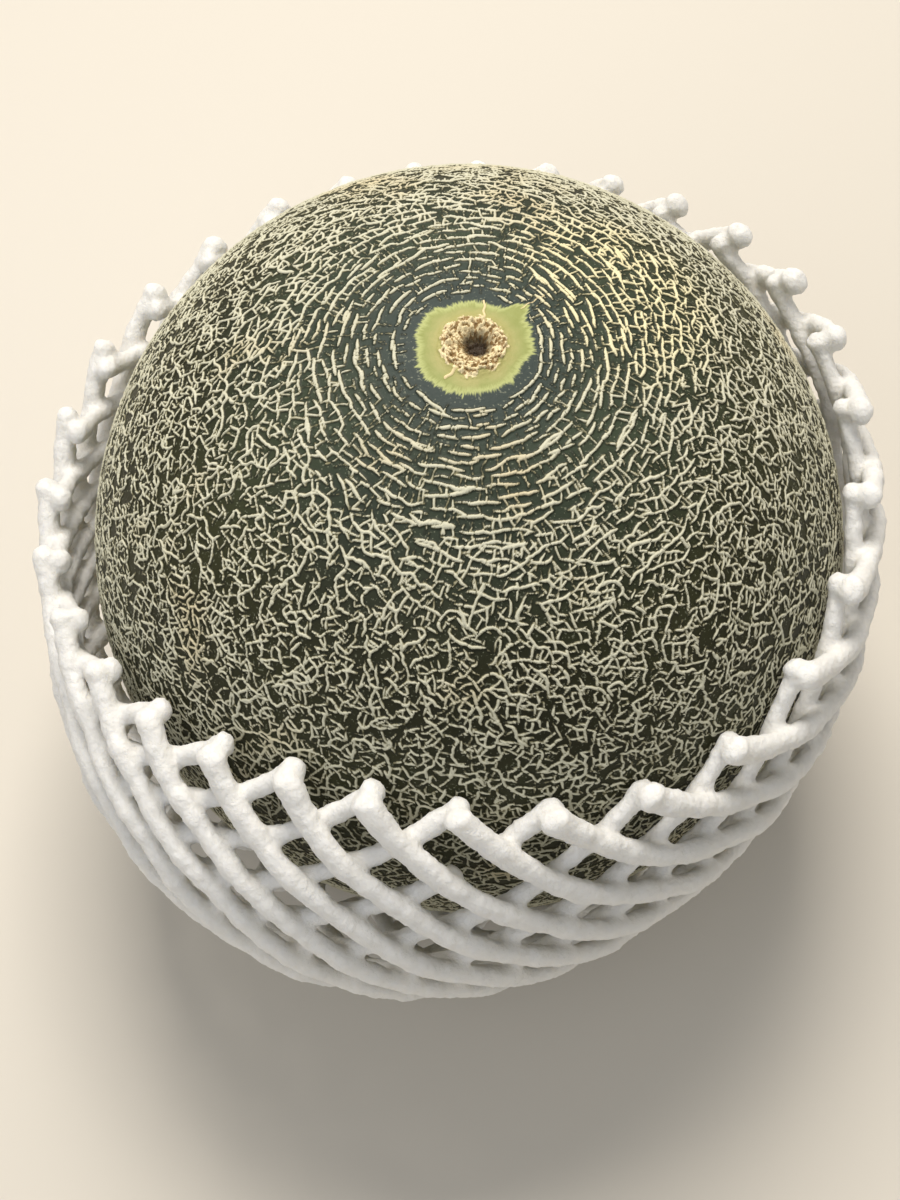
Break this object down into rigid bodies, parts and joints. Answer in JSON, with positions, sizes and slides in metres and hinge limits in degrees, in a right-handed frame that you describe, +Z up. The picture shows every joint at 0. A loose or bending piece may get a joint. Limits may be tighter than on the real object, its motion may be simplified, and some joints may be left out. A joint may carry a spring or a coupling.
{
  "type": "netted muskmelon in a foam fruit net",
  "caption": "Round green-skinned melon with raised cream corky netting, stem scar up, resting in a white foam fruit net that is open above and below.",
  "frame": {"origin": "centre of the small flat spot that the melon stands on, on the table plane", "axes": "+Z up through the stem scar; -Y is the front, where the net hangs slack and its rim stands highest; +X is right as seen from the front"},
  "size_m": [0.1621, 0.1724, 0.1436],
  "materials": {
    "melon_rind": "waxy dark green rind under a dense raised cream corky net, with a lime-edged tan stem scar",
    "white_foam": "matt white closed-cell polyethylene foam, slightly lumpy, lets some light through"
  },
  "bodies": {
    "root": {"melon": "melon_rind", "foam_net": "white_foam"}
  },
  "joints": []
}
